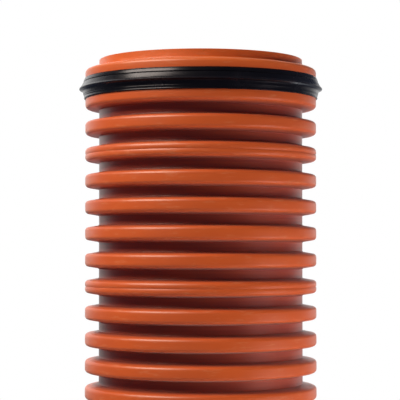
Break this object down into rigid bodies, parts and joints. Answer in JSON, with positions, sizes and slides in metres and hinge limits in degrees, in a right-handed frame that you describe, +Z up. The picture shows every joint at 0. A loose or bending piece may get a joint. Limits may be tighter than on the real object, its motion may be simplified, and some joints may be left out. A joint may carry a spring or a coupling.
{
  "type": "corrugated drain pipe",
  "caption": "Length of corrugated twin-wall drain pipe with hollow ribs, a smooth bore, plain cut ends and a rubber sealing ring seated in the first valley of its spigot end.",
  "frame": {"origin": "centre of the pipe's plain cut end, on the floor it stands on", "axes": "+Z up the pipe's axis to the spigot end with the sealing ring"},
  "size_m": [0.2106, 0.2106, 1],
  "materials": {
    "pipe_plastic": "satin",
    "seal_rubber": "satin"
  },
  "bodies": {
    "root": {"pipe": "pipe_plastic", "seal_ring": "seal_rubber"}
  },
  "joints": []
}
